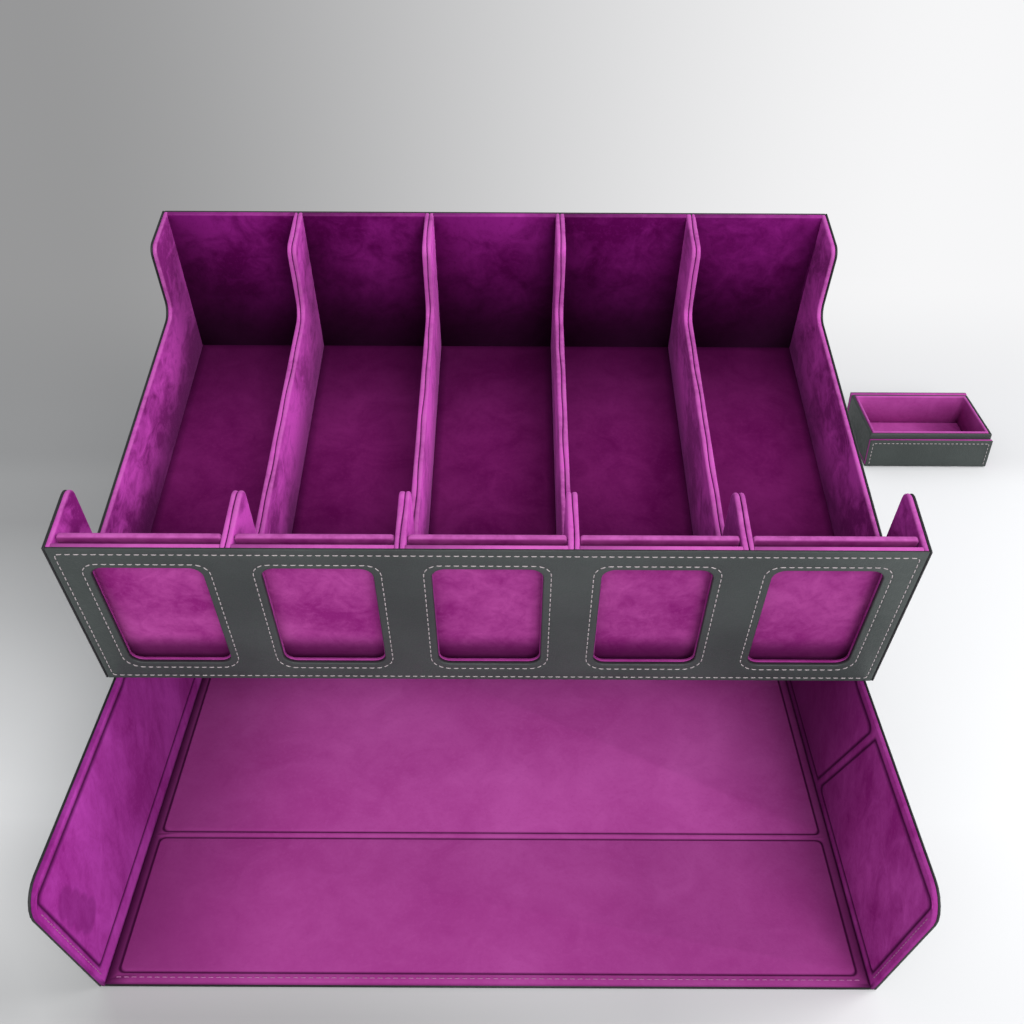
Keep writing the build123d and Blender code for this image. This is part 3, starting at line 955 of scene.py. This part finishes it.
# %% [markdown]
# ## The stand tray
#
# The tray's walls and floor are boards covered inside with suede. After gluing, a blunt tool presses the
# suede down in a line just inside each board's edge, which leaves raised panels with lines round them,
# darkened by painted shade.
# The right wall is two boards that meet at a slanted seam, and the floor folds along a narrow strip behind
# its front panel.

# %% Places in the tray
RAKE = 30.0 * MM
TIP_RADIUS = 12.0 * MM
front_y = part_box("tray_floor_leather")[0][1]
crest_y = box_corner[1]
rear_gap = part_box("tray_rear_lining")[0][1] - crest_y
wall_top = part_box("tray_rear_leather")[1][2] - rear_gap * math.tan(TILT)
lean = RAKE / wall_top
print("tray wall top in mm:", round(wall_top / MM, 1))


def tray_wall(low, high):
    """The corners (y, z) of a tray wall: front foot, back foot, back top, crest of the slope, and tip."""
    back_top = wall_top + (high[1] - crest_y) * math.tan(TILT)
    return [(front_y - low[2] * lean, low[2]), (high[1], low[2]), (high[1], back_top), (crest_y, wall_top),
            (front_y - wall_top * lean, wall_top)]


def stood_up(rings, sign, low, high):
    """Rings of (y, z, w), with w counted inwards from a side wall's outer face; sign is -1 on the left."""
    placed = turned_to(rings, "yzx")
    placed[..., 0] = sign * (max(abs(low[0]), abs(high[0])) - placed[..., 0])
    return placed


# %% Panels with pressed lines
LINE_RADIUS = 3.0 * MM
GRID = 10.0 * MM


def panelled(corners, radius, low, high, edge, cells, route, rim_tone, recess, crease=CREASE_LINE):
    """Shells of a lining whose face at w = high is parted into cells, each with a pressed line round it.

    A cell is (corners, radii, insets where its own points start, insets of its line, how wide the line is on
    each side as a multiple of the crease). The painted shade of a line reaches half as far again to each side
    as its depth does. The rim is a plate's, and ends in the cells' outer sides, which the route lists for
    each side of the lining. A recess (insets, depth) leaves room for a board behind the lining.
    """
    cuts, cell_runs, shells = {}, {}, []
    for name, (around, radii, start, line, broad) in cells.items():
        runs = even_runs(around, GRID)
        stack, tone = [lay(around, start, radii, high, runs)], [0.0]
        cuts[name], cell_runs[name] = sides_of(stack[0], runs), runs
        for d in DIP_STEPS * crease[1]:
            inset = np.asarray(line) + d * np.asarray(broad)
            stack.append(lay(around, inset, LINE_RADIUS, high - dip(d, crease), runs, False))
            tone.append(-math.exp(-(d / (1.5 * crease[1])) ** 2))
        shells.append((np.array(stack), np.array(tone), "last"))
    runs = [sum(cell_runs[name][side] for name, side in stops) for stops in route]
    rings, tone = plate(corners, radius, low, high, edge, runs, rim_tone)
    behind = [lay(corners, recess[0], radius, w, runs) for w in (recess[1], low)]
    rings = np.concatenate([behind, rings, joined_sides(cuts, route)[None]])
    shells.append((rings, np.pad(tone, (2, 1)), "first"))
    return shells


def darkened(tone, distance, reach):
    """The tone with a band of painted shade where two linings meet.

    The band's share is exp(-(distance / reach) to the fourth), and the tone there goes to -1 by that share.
    """
    band = np.exp(-(distance / reach) ** 4)
    return tone * (1 - band) - band


# %% Make the tray's leather
for side, sign in (("left", -1), ("right", 1)):
    low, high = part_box(f"tray_{side}_leather")
    corners = tray_wall(low, high)
    rings, tone = plate(corners, [CUT_RADIUS] * 4 + [TIP_RADIUS], 0.0, high[0] - low[0], SKIN_EDGE,
                        even_runs(corners, GRID), 1.0)
    add_piece(f"skin_tray_{side}", "stand_tray", [(stood_up(rings, sign, low, high), tone, "capped")],
              f"tray_{side}_leather")

rings, tone = slab(*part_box("tray_rear_leather"), "xzy", CUT_RADIUS, SKIN_EDGE, [40, 14, 40, 14], 1.0)
add_piece("skin_tray_rear", "stand_tray", [(turned_to(rings, "xzy"), tone, "capped")], "tray_rear_leather")

SHEET = 1.2 * MM
HEM_TOP = 1.5 * MM
HEM_RADIUS = np.array([0.5, 0, 0.3, 0.5]) * MM
low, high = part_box("tray_floor_leather")
inner_low, inner_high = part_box("tray_floor_lining")
sheet, tone = plate(rectangle(low, high), CUT_RADIUS, low[2], low[2] + SHEET, SKIN_EDGE, [40, 32, 40, 32])
hem = rod(rectangle((low[1], low[2]), (inner_low[1], HEM_TOP)), HEM_RADIUS, inner_low[0], inner_high[0])
add_piece("skin_tray_floor", "stand_tray",
          [(sheet, tone, "capped"), (turned_to(hem, "yzx"), [1.0], "capped")], "tray_floor_leather")

# %% Make the tray's side linings
# A negative rim tone paints shade on the tray's rims, which face the lamps
TRAY_RIM_TONE = -0.5
SEAM_TOP = 67.0 * MM
SEAM_FOOT = 123.0 * MM
RIM = 1.6 * MM
FOOT_RIM = 3.8 * MM
LEFT_FOOT_LINE, RIGHT_FOOT_LINE = 13.5 * MM, 8.6 * MM
TOP_LINE, BACK_LINE, SEAM_LINE = 5.5 * MM, 6.0 * MM, 2.6 * MM
BROAD_FOOT, BROAD_TOP = 1.4, 1.9
SIDE_EDGE = 0.62 * MM
BEHIND = 1.2 * MM
FLUSH = 0.3 * MM
WALL_BAND = 2.2 * MM
for side, sign, board in (("left", -1, "tray_left_board"), ("right", 1, "tray_right_front_board")):
    low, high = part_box(f"tray_{side}_lining")
    corners = tray_wall(low, high)
    foot_front, foot_back, back_top, crest, tip = corners
    if side == "left":
        cells = {"whole": (corners, [0, 0, 0, 0, TIP_RADIUS], [FOOT_RIM, RIM, RIM, RIM, RIM],
                           [LEFT_FOOT_LINE, BACK_LINE, TOP_LINE, TOP_LINE, TOP_LINE],
                           [BROAD_FOOT, 1, BROAD_TOP, BROAD_TOP, 1])}
        route = [[("whole", k)] for k in range(5)]
    else:
        slant = (SEAM_FOOT - SEAM_TOP) / wall_top
        seam_foot = (front_y + SEAM_FOOT - low[2] * slant, low[2])
        seam_top = (front_y + SEAM_TOP, wall_top)
        cells = {"ahead": ([foot_front, seam_foot, seam_top, tip], [0, 0, 0, TIP_RADIUS],
                           [FOOT_RIM, 0, RIM, RIM], [RIGHT_FOOT_LINE, SEAM_LINE, TOP_LINE, TOP_LINE],
                           [BROAD_FOOT, 1, BROAD_TOP, 1]),
                 "behind": ([seam_foot, foot_back, back_top, crest, seam_top], 0,
                            [FOOT_RIM, RIM, RIM, RIM, 0],
                            [RIGHT_FOOT_LINE, BACK_LINE, TOP_LINE, TOP_LINE, SEAM_LINE],
                            [BROAD_FOOT, 1, BROAD_TOP, BROAD_TOP, 1])}
        route = [[("ahead", 0), ("behind", 0)], [("behind", 1)], [("behind", 2)],
                 [("behind", 3), ("ahead", 2)], [("ahead", 3)]]
    board_low, board_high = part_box(board)
    recess = ([FLUSH, BEHIND, BEHIND, BEHIND, BEHIND], board_high[0] - board_low[0])
    shells = panelled(corners, [0, 0, 0, 0, TIP_RADIUS], 0.0, high[0] - low[0], SIDE_EDGE, cells, route,
                      TRAY_RIM_TONE, recess, WALL_CREASE)
    shaded = []
    for rings, tone, ends in shells:
        # Painted shade along the foot, where the wall meets the floor
        tone = darkened(tone[:, None], rings[..., 1] - low[2], WALL_BAND)
        shaded.append((stood_up(rings, sign, low, high), tone, ends))
    add_piece(f"suede_tray_{side}", "stand_tray", shaded, f"tray_{side}_lining", f"{side}_suede")

# %% Make the tray's floor lining
FOLD = 86.0 * MM
FLOOR_RIM, FLOOR_LINE, FOLD_LINE = 1.4 * MM, 5.1 * MM, 2.0 * MM
FLOOR_EDGE, FLOOR_BAND = 0.7 * MM, 1.1 * MM
HEM_GAP, HEM_DEPTH = 0.15 * MM, 1.3 * MM
MARGIN, MARGIN_FULL = 6.0 * MM, 2.5 * MM
LEFT_SHADE, RIGHT_SHADE = 0.95, 0.5
low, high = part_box("tray_floor_lining")
fold_y = front_y + FOLD
hem_y = front_y + HEM_GAP
cells = {"ahead": (rectangle((low[0], hem_y), (high[0], fold_y)), 0, [RIM, FLOOR_RIM, 0, FLOOR_RIM],
                   [TOP_LINE, FLOOR_LINE, FOLD_LINE, FLOOR_LINE], 1),
         "behind": (rectangle((low[0], fold_y), high), 0, [0, FLOOR_RIM, FLOOR_RIM, FLOOR_RIM],
                    [FOLD_LINE, FLOOR_LINE, BACK_LINE, FLOOR_LINE], 1)}
shells = panelled(rectangle((low[0], hem_y), high), 0, HEM_TOP, high[2], FLOOR_EDGE, cells,
                  [[("ahead", 0)], [("ahead", 1), ("behind", 1)], [("behind", 2)],
                   [("behind", 3), ("ahead", 3)]], TRAY_RIM_TONE, ([HEM_DEPTH, FLUSH, FLUSH, FLUSH], low[2]))

# Painted shade darkens a margin along each side wall, most where floor and wall meet
shaded = []
for rings, tone, ends in shells:
    from_wall = high[0] - abs(rings[..., 0])
    margin = np.clip((MARGIN - from_wall) / (MARGIN - MARGIN_FULL), 0, 1)
    margin *= np.where(rings[..., 0] < 0, LEFT_SHADE, RIGHT_SHADE)
    shaded.append((rings, darkened(tone[:, None] - margin, from_wall, FLOOR_BAND), ends))
add_piece("suede_tray_floor", "stand_tray", shaded, "tray_floor_lining", "floor_suede")

# %% Make the tray's rear lining
low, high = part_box("tray_rear_lining")
board_low, board_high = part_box("tray_rear_board")
sheet = facing(low, high, "xzy")
shells = panelled(sheet, 0, 0.0, high[1] - low[1], SIDE_EDGE, {"whole": (sheet, 0, RIM, BACK_LINE, 1)},
                  [[("whole", k)] for k in range(4)], 1.0,
                  ([FLUSH, FLUSH, BEHIND, FLUSH], board_high[1] - board_low[1]))
turned_round = []
for rings, tone, ends in shells:
    placed = turned_to(rings, "xzy")
    placed[..., 1] = high[1] - placed[..., 1]
    turned_round.append((placed, tone, ends))
add_piece("suede_tray_rear", "stand_tray", turned_round, "tray_rear_lining")

# %% Sew the tray
SEAM_INSET = 2.7 * MM
SEAM_SHARE = np.array([[0.09], [0.87]])
low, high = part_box("tray_floor_lining")
line_y, short = front_y + 3.0 * MM, 4 * MM
front_seam = np.array([(low[0] + short, line_y, high[2]), (high[0] - short, line_y, high[2])])
seams = [(front_seam, np.array([0.0, 0.0, 1.0]), False)]
tip = np.array([front_y - wall_top * lean, wall_top])
tip_foot = np.array([front_y, 0])
inwards = np.array([math.cos(math.atan(lean)), math.sin(math.atan(lean))]) * SEAM_INSET
ends = tip_foot + (tip - tip_foot) * SEAM_SHARE + inwards
for sign in (-1, 1):
    seams.append((np.column_stack([[sign * high[0]] * 2, ends]), np.array([-sign, 0.0, 0.0]), False))
sew("stitches_tray", "stand_tray", seams, "rose_thread")

# %% [markdown]
# ## The small tray and its cover
#
# The cover is a strip of leather bent into a U, lined with suede. The tray stands in it: four leather walls
# with rounded rims, lined with a thicker suede wall that stands a little proud.

# %% Make the cover
cover_low, cover_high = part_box("small_cover_leather")
lining_low, lining_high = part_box("small_cover_lining")
COVER_FRONT = 25.0 * MM
COVER_RUNS = [12, 6, 1, 6, 12, 6, 1, 6]
LEATHER_CORNERS = np.array([2.2, 2.2, 0.4, 0.1, 1.2, 1.2, 0.1, 0.4]) * MM
SUEDE_CORNERS = np.array([1.2, 1.2, 0.2, 1.1, 0.5, 0.5, 1.1, 0.2]) * MM
PADDED_WALL, PADDED_FLOOR = 2.4 * MM, 1.0 * MM


def u_section(low, high, floor, wall, radii, bevel):
    """A rod along x with a U section (y, z): a low front wall, a floor up to a height, and the back wall."""
    section = [(low[1], low[2]), (high[1], low[2]), (high[1], cover_high[2]), (high[1] - wall, cover_high[2]),
               (high[1] - wall, floor), (low[1] + wall, floor), (low[1] + wall, COVER_FRONT),
               (low[1], COVER_FRONT)]
    return turned_to(rod(section, radii, low[0], high[0], bevel, COVER_RUNS), "yzx")


thin = lining_low[1] - cover_low[1]
rings = u_section(cover_low, cover_high, thin, thin, LEATHER_CORNERS, 0.15 * MM)
add_piece("skin_small_cover", "small_cover", [(rings, [0.0], "capped")], "small_cover_leather")
rings = u_section(lining_low, lining_high, lining_low[2] + PADDED_FLOOR, PADDED_WALL, SUEDE_CORNERS, 0.3 * MM)
add_piece("suede_small_cover", "small_cover", [(rings, [FOLD_TONE], "capped")], "small_cover_lining")

# %% Make the small tray
DOME = 1.1 * MM
STAND = 0.5 * MM
TRAY_RUNS = [14, 9, 14, 9]
outer_low, outer_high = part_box("small_tray_leather")
inner_low, inner_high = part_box("small_tray_lining")
pad_low, pad_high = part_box("small_tray_floor_pad")


def tray_rings(low, high, radius, levels, wall, top, foot, plain, rim):
    """Rings of a small tray wall from its outer levels (inset, height), over its rim and down its inner face.

    At the angle a from 0 to a half turn the rim has moved in by half the wall * (1 - cos a) and is at the
    height top - DOME * (1 - sin a), and its tone goes from plain to rim by sin a.
    """
    levels = levels + [(0, top - DOME)]
    tones = [0.0] * (len(levels) - 1) + [plain]
    for a in np.linspace(0, math.pi, 9)[1:-1]:
        levels.append((wall / 2 * (1 - math.cos(a)), top - DOME + DOME * math.sin(a)))
        tones.append(plain + (rim - plain) * math.sin(a))
    levels += [(wall, top - DOME), (wall, foot)]
    tones += [plain, 0.0]
    around = rectangle(low, high)
    return np.array([lay(around, inset, radius, z, TRAY_RUNS) for inset, z in levels]), np.array(tones)


z = outer_low[2]
rounded_foot = [(0.5 * MM, z), (0.15 * MM, z + 0.15 * MM), (0, z + 0.5 * MM)]
rings, tones = tray_rings(outer_low, outer_high, 1.5 * MM, rounded_foot, inner_low[0] - outer_low[0],
                          outer_high[2], inner_low[2], 0.0, 0.3)
add_piece("skin_small_tray", "small_tray", [(rings, tones, "capped")], "small_tray_leather")
rings, tones = tray_rings(inner_low, inner_high, 0.4 * MM, [(0, inner_low[2])], pad_low[0] - inner_low[0],
                          inner_high[2] + STAND, inner_low[2], 0.2, 1.0)
add_piece("suede_small_tray", "small_tray", [(rings, tones, "looped")], "small_tray_lining")
rings, tone = slab(pad_low, pad_high, "xyz", PAD_RADIUS, 0.4 * MM)
add_piece("suede_small_tray_floor", "small_tray", [(rings, tone, "capped")], "small_tray_floor_pad")

# %% Sew the cover
edge, foot_z = 2.6 * MM, 2.5 * MM
left_x, right_x, top_z = cover_low[0] + edge, cover_high[0] - edge, COVER_FRONT - edge
corners = [(left_x, foot_z), (left_x, top_z), (right_x, top_z), (right_x, foot_z)]
seam = np.array([(x, cover_low[1], z) for x, z in corners])
sew("stitches_small_cover", "small_cover", [(seam, np.array([0.0, -1.0, 0.0]), False)],
    pitch=3.4 * MM, stitch=2.3 * MM, thread=0.28 * MM)

# %% [markdown]
# ## Floor, backdrop and light
#
# The object stands on a pale floor that runs back into a pale backdrop. The key lamp is a broad soft one in
# front and to the right, a second lamp lights from the right side, and a weak one in front fills the left.
# The floor is stage, not part of the object. Light is painted into its colour, from grey at the left to white
# at the right, with a painted shadow in front of the tray.

# %% Floor and backdrop
SKY = (0.54, 0.552, 0.57)


def grey(shade):
    """A neutral colour with a trace of blue."""
    return (shade, shade, shade * 1.01)


tree, shader = new_material("stage_floor")
place = object_place(tree)
apart = made(tree, "SeparateXYZ", {"Vector": place})
across, back = apart.outputs["X"], apart.outputs["Y"]
distance = measured(tree, "LENGTH", place)

# A fan of painted light that opens to the back, from a grey left to a white right, the grey darker further
# back
reach = maths(tree, "MAXIMUM", maths(tree, "ADD", back, 0.444), 0.27)
fan = maths(tree, "DIVIDE", across, reach)
glow = ramp(tree, fan, -0.42, 0.42, smooth=True)
dusk = ramp(tree, back, -0.03, 0.22, 0.76, 0.33)
left_grey = made(tree, "CombineColor", {"Red": dusk, "Green": dusk, "Blue": dusk}).outputs["Color"]
pale = mixed(tree, glow, left_grey, grey(0.72))

# The backdrop starts a little darker, and a painted shadow darkens the floor in front of the tray
rise = ramp(tree, back, 0.27, 0.32, 1.0, 0.9, smooth=True)
front_shadow = maths(tree, "MULTIPLY", ramp(tree, fan, -0.75, -0.62, 0.75, 1.0),
             ramp(tree, fan, -0.4, 0.85, 0.55, 0.14, smooth=True))
front_shadow = maths(tree, "MULTIPLY", front_shadow, ramp(tree, back, -0.05, -0.165))
front_shadow = maths(tree, "MULTIPLY", front_shadow, ramp(tree, back, -0.6, -0.3))
scaled = mixed(tree, maths(tree, "SUBTRACT", rise, front_shadow), (0, 0, 0), pale)
fill(tree, shader, {"Base Color": scaled, "Roughness": 0.9, "Specular IOR Level": 0.1})

# Far from the object the floor glows with painted light of its own, so that no lamp's edge and no horizon is
# seen
beyond_back = mixed(tree, glow, grey(0.31), grey(0.93))
near_sky = maths(tree, "MAXIMUM", ramp(tree, back, 0.4, -0.3), ramp(tree, distance, 2.4, 6.0, smooth=True))
far = made(tree, "Emission", {"Color": mixed(tree, near_sky, beyond_back, SKY)})
rays = made(tree, "LightPath", {}).outputs
seen = maths(tree, "MAXIMUM", rays["Is Camera Ray"], rays["Is Glossy Ray"])
seen = maths(tree, "MAXIMUM", seen, rays["Is Transmission Ray"])
beyond = maths(tree, "MAXIMUM", ramp(tree, back, 0.3, 0.65, smooth=True),
               ramp(tree, distance, 0.8, 1.7, smooth=True))
blend = made(tree, "MixShader", {0: maths(tree, "MULTIPLY", seen, beyond), 1: shader.outputs["BSDF"],
                                 2: far.outputs["Emission"]})
fill(tree, tree.nodes["Material Output"], {"Surface": blend.outputs["Shader"]})

HALF = 9.0
mesh = bpy.data.meshes.new("stage_floor")
mesh.from_pydata([(-HALF, -HALF, 0), (HALF, -HALF, 0), (HALF, HALF, 0), (-HALF, HALF, 0)], [], [(0, 1, 2, 3)])
floor = bpy.data.objects.new("stage_floor", mesh)
bpy.context.scene.collection.objects.link(floor)
floor.data.materials.append(finish["stage_floor"])
floor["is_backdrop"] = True
print("stage floor:", len(tree.nodes), "shader nodes")

# %% World and lamps
world = bpy.data.worlds.new("soft_room")
bpy.context.scene.world = world
world.use_nodes = True
fill(world.node_tree, world.node_tree.nodes["Background"], {"Color": (0.9, 0.92, 0.95, 1.0), "Strength": 0.6})


def lamp(name, place, target, size, power):
    """A square area lamp that faces a point."""
    data = bpy.data.lights.new(name, "AREA")
    data.size = size
    data.energy = power
    thing = bpy.data.objects.new(name, data)
    aim = (Vector(place) - Vector(target)).to_track_quat("Z", "Y")
    thing.matrix_world = Matrix.Translation(place) @ aim.to_matrix().to_4x4()
    bpy.context.scene.collection.objects.link(thing)
    print(name, "lamp, watts:", power)


lamp("key", (0.45, -1.3, 1.05), (0.0, 0.0, 0.05), 0.8, 23.0)
lamp("side", (1.5, 0.1, 0.9), (0.0, 0.0, 0.1), 0.8, 16.0)
lamp("fill", (-0.5, -1.2, 0.8), (0.0, 0.0, 0.0), 1.0, 6.0)

# %% [markdown]
# ## The camera
#
# The camera looks down at the storage box from in front, from where the picture was taken. Its place, tilt
# and lens were fitted to the picture together with the box's proportions.

# %% Set the camera
EYE = (0.0106, -0.444, 0.4994)
FROM_STRAIGHT_DOWN = math.radians(53.72)
ROLL_OF_VIEW = math.radians(0.258)
view = bpy.data.cameras.new("camera")
view.lens = 39.02
view.sensor_width = 36.0
camera = bpy.data.objects.new("camera", view)
camera.matrix_world = (Matrix.Translation(EYE) @ Matrix.Rotation(FROM_STRAIGHT_DOWN, 4, "X")
                       @ Matrix.Rotation(ROLL_OF_VIEW, 4, "Z"))
bpy.context.scene.collection.objects.link(camera)
bpy.context.scene.camera = camera
bpy.context.scene.view_settings.view_transform = "Standard"
print("camera at:", EYE, "lens in mm:", round(view.lens, 2))

# %% Measure and finish
low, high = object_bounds()
print("visual size in mm:", [round((b - a) / MM, 1) for a, b in zip(low, high)])
